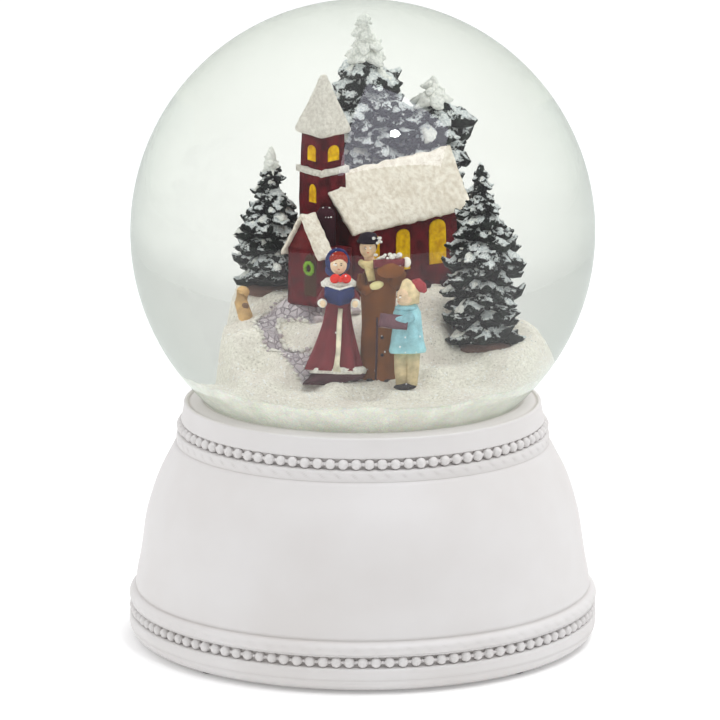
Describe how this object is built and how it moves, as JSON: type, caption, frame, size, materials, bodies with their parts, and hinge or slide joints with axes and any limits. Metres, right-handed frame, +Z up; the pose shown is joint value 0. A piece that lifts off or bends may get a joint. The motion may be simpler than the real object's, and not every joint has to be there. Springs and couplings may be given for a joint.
{
  "type": "musical snow globe",
  "caption": "Water-filled glass ball with a painted winter church scene on a white bell-shaped base that hides a wind-up music movement.",
  "frame": {"origin": "centre of the circle that the four foot pads rest on", "axes": "+Z up, front of the scene towards -Y"},
  "size_m": [0.1018, 0.1018, 0.139],
  "materials": {
    "white_resin": "matt off-white cast polyresin",
    "pad_rubber": "black moulded rubber",
    "base_plastic": "off-white moulded disc",
    "screw_steel": "zinc-plated",
    "globe_glass": "clear blown glass",
    "stopper_rubber": "off-white rubber",
    "silicone": "translucent silicone",
    "water": "clear liquid",
    "snow_flakes": "loose white plastic flakes",
    "painted_snow": "cream painted resin",
    "church_paint": "burgundy painted resin, yellow windows",
    "roof_snow": "textured snow paint",
    "tree_paint": "dark green painted resin with white snow",
    "woman_paint": "painted resin, burgundy coat",
    "man_paint": "painted resin, brown coat",
    "child_paint": "painted resin, light blue coat",
    "log_paint": "tan painted resin",
    "zinc": "die-cast alloy",
    "comb_steel": "ground steel",
    "brass": "turned brass",
    "shaft_steel": "turned steel",
    "fly_plastic": "white acetal",
    "spring_steel": "blued spring steel",
    "key_metal": "plated key"
  },
  "bodies": {
    "root": {"base_shell": "white_resin", "foot_pads": "pad_rubber", "bottom_plate": "base_plastic", "plate_screws": "screw_steel", "movement_screws": "screw_steel", "glass_globe": "globe_glass", "stopper": "stopper_rubber", "sealing_ring": "silicone", "water": "water", "snow_bed": "snow_flakes", "snow_hill": "painted_snow", "church_walls": "church_paint", "nave_roof": "roof_snow", "porch_roof": "roof_snow", "spire": "roof_snow", "tree_left": "tree_paint", "tree_back": "tree_paint", "tree_back_right": "tree_paint", "tree_right": "tree_paint", "caroller_woman": "woman_paint", "caroller_man": "man_paint", "caroller_child": "child_paint", "log_post": "log_paint", "bedplate": "zinc", "comb": "comb_steel", "comb_screws": "screw_steel", "governor_bracket": "zinc", "governor_screw": "screw_steel", "spring_housing": "zinc", "housing_screws": "screw_steel", "mainspring": "spring_steel"},
    "winder": {"winding_key": "key_metal", "winding_arbor": "shaft_steel", "crown_wheel": "brass", "click_spring": "spring_steel"},
    "drum": {"music_cylinder": "brass", "drum_shaft": "shaft_steel", "drum_pinion": "brass", "drum_wheel": "brass"},
    "second": {"second_pinion": "shaft_steel", "second_wheel": "fly_plastic"},
    "governor": {"governor_worm": "shaft_steel", "governor_fly": "fly_plastic"}
  },
  "joints": [
    {"name": "key_spin", "type": "hinge", "parent": "root", "child": "winder", "pos_m": [-0.013, 0.002, 0.012], "axis": [0, 0, 1], "continuous": true},
    {"name": "drum_spin", "type": "hinge", "parent": "root", "child": "drum", "pos_m": [0.01, 0.002, 0.0255], "axis": [1, 0, 0], "continuous": true},
    {"name": "second_spin", "type": "hinge", "parent": "root", "child": "second", "pos_m": [0.02, 0.012, 0.0255], "axis": [1, 0, 0], "continuous": true},
    {"name": "governor_spin", "type": "hinge", "parent": "root", "child": "governor", "pos_m": [0.0225, 0.0173, 0.0255], "axis": [0, 0, 1], "continuous": true}
  ],
  "couplings": [
    {"joint": "drum_spin", "follows": "key_spin", "ratio": 2},
    {"joint": "second_spin", "follows": "key_spin", "ratio": -6},
    {"joint": "governor_spin", "follows": "key_spin", "ratio": 120}
  ]
}
